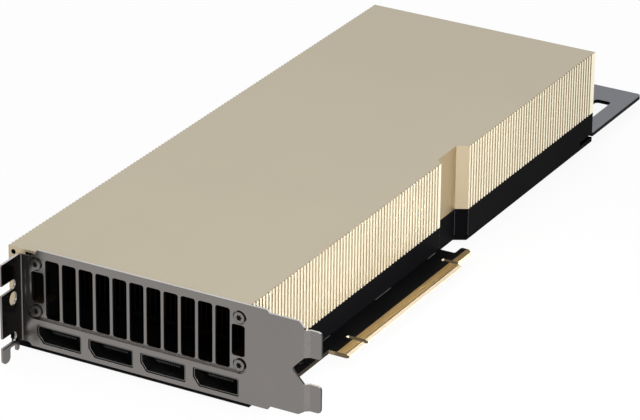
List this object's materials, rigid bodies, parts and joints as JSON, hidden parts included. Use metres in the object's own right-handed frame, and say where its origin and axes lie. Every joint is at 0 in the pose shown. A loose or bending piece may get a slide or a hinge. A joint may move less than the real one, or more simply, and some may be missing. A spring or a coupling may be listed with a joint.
{
  "type": "passive accelerator card",
  "caption": "Two-slot passive accelerator card: ribbed metal cover over a finned heat sink, card-edge board with vented I/O bracket and a rear extender bracket",
  "frame": {"origin": "The middle of the key notch of the card edge, at the lower edge of the contacts, on the component side of the board.", "axes": "+X runs along the card from the I/O bracket to the rear, +Y from the contacts to the top edge of the card, +Z from the board to the cover."},
  "size_m": [0.3262, 0.1255, 0.0415],
  "materials": {
    "gold_shell": "satin anodised",
    "black_frame": "black anodised",
    "black_plate": "black anodised",
    "board_laminate": "solder mask",
    "gold_contacts": "polished",
    "bracket_steel": "satin",
    "screw_steel": "satin",
    "port_steel": "bright",
    "black_moulding": "matte",
    "copper_chamber": "nickel plated",
    "dark_fins": "dark anodised",
    "extender_steel": "satin",
    "black_foam": "matte",
    "package_laminate": "matte",
    "die_glass": "polished",
    "grey_paste": "matte",
    "chip_moulding": "matte",
    "grey_pads": "matte",
    "coil_ferrite": "matte"
  },
  "bodies": {
    "root": {"cover": "gold_shell", "base_frame": "black_frame", "backplate": "black_plate", "circuit_board": "board_laminate", "edge_contacts_top": "gold_contacts", "edge_contacts_bottom": "gold_contacts", "ground_strips": "gold_contacts", "io_bracket": "bracket_steel", "bracket_screws": "screw_steel", "vapour_chamber": "copper_chamber", "fin_stack": "dark_fins", "package_stiffener": "port_steel", "clamp_plate": "port_steel", "power_socket": "black_moulding", "power_pins": "gold_contacts", "extender_bracket": "extender_steel", "foam_seals": "black_foam", "processor_package": "package_laminate", "processor_die": "die_glass", "thermal_paste": "grey_paste", "memory_chips_top": "chip_moulding", "memory_chips_bottom": "chip_moulding", "memory_pads_top": "grey_pads", "memory_pads_bottom": "grey_pads", "inductors": "coil_ferrite", "inductor_pads": "grey_pads", "power_stages": "chip_moulding", "power_stage_pads": "grey_pads", "capacitors": "chip_moulding", "controller_chips": "chip_moulding", "cover_screws": "screw_steel", "backplate_screws": "screw_steel", "extender_screws": "screw_steel", "clamp_screws": "screw_steel", "video_port_shell_1": "port_steel", "video_port_insert_1": "black_moulding", "video_port_shell_2": "port_steel", "video_port_insert_2": "black_moulding", "video_port_shell_3": "port_steel", "video_port_insert_3": "black_moulding", "video_port_shell_4": "port_steel", "video_port_insert_4": "black_moulding"}
  },
  "joints": []
}
